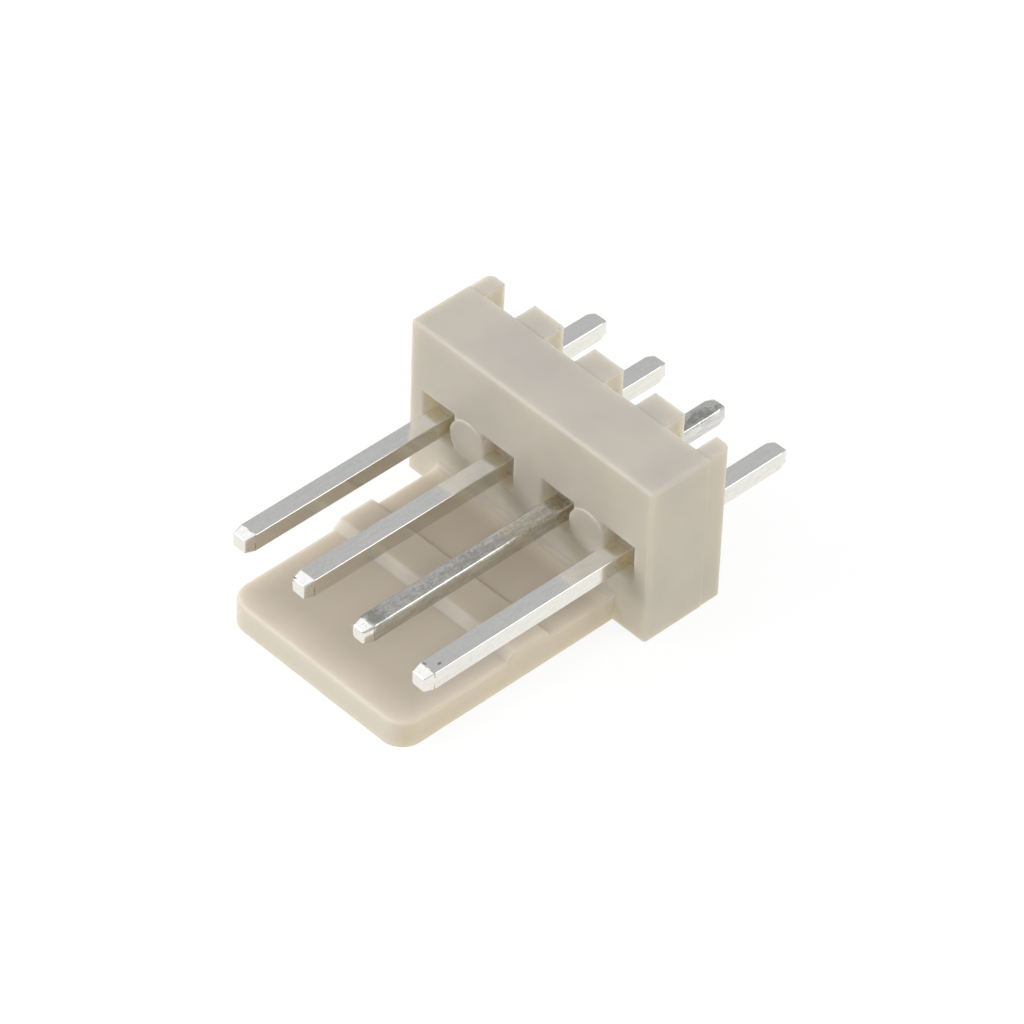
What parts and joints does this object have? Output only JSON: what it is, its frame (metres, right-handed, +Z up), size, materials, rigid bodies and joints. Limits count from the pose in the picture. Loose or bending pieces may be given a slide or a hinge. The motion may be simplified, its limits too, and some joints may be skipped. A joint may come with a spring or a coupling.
{
  "type": "wire to board pin header",
  "caption": "Board header with a friction lock wall: square pins pressed through a moulded base, mating ends over the wall and solder tails between standoff ribs.",
  "frame": {"origin": "on the surface that the part lies on, under the middle of its box", "axes": "+X along the row of pins, +Y from the mating tips to the solder tails, +Z up, away from the flat of the lock wall"},
  "size_m": [0.0102, 0.015, 0.0058],
  "materials": {
    "housing_plastic": "moulded, ivory, slightly glossy",
    "tinned_pin": "bright tin plating with fine drawing marks"
  },
  "bodies": {
    "root": {"housing": "housing_plastic", "pin_1": "tinned_pin", "pin_2": "tinned_pin", "pin_3": "tinned_pin", "pin_4": "tinned_pin"}
  },
  "joints": []
}
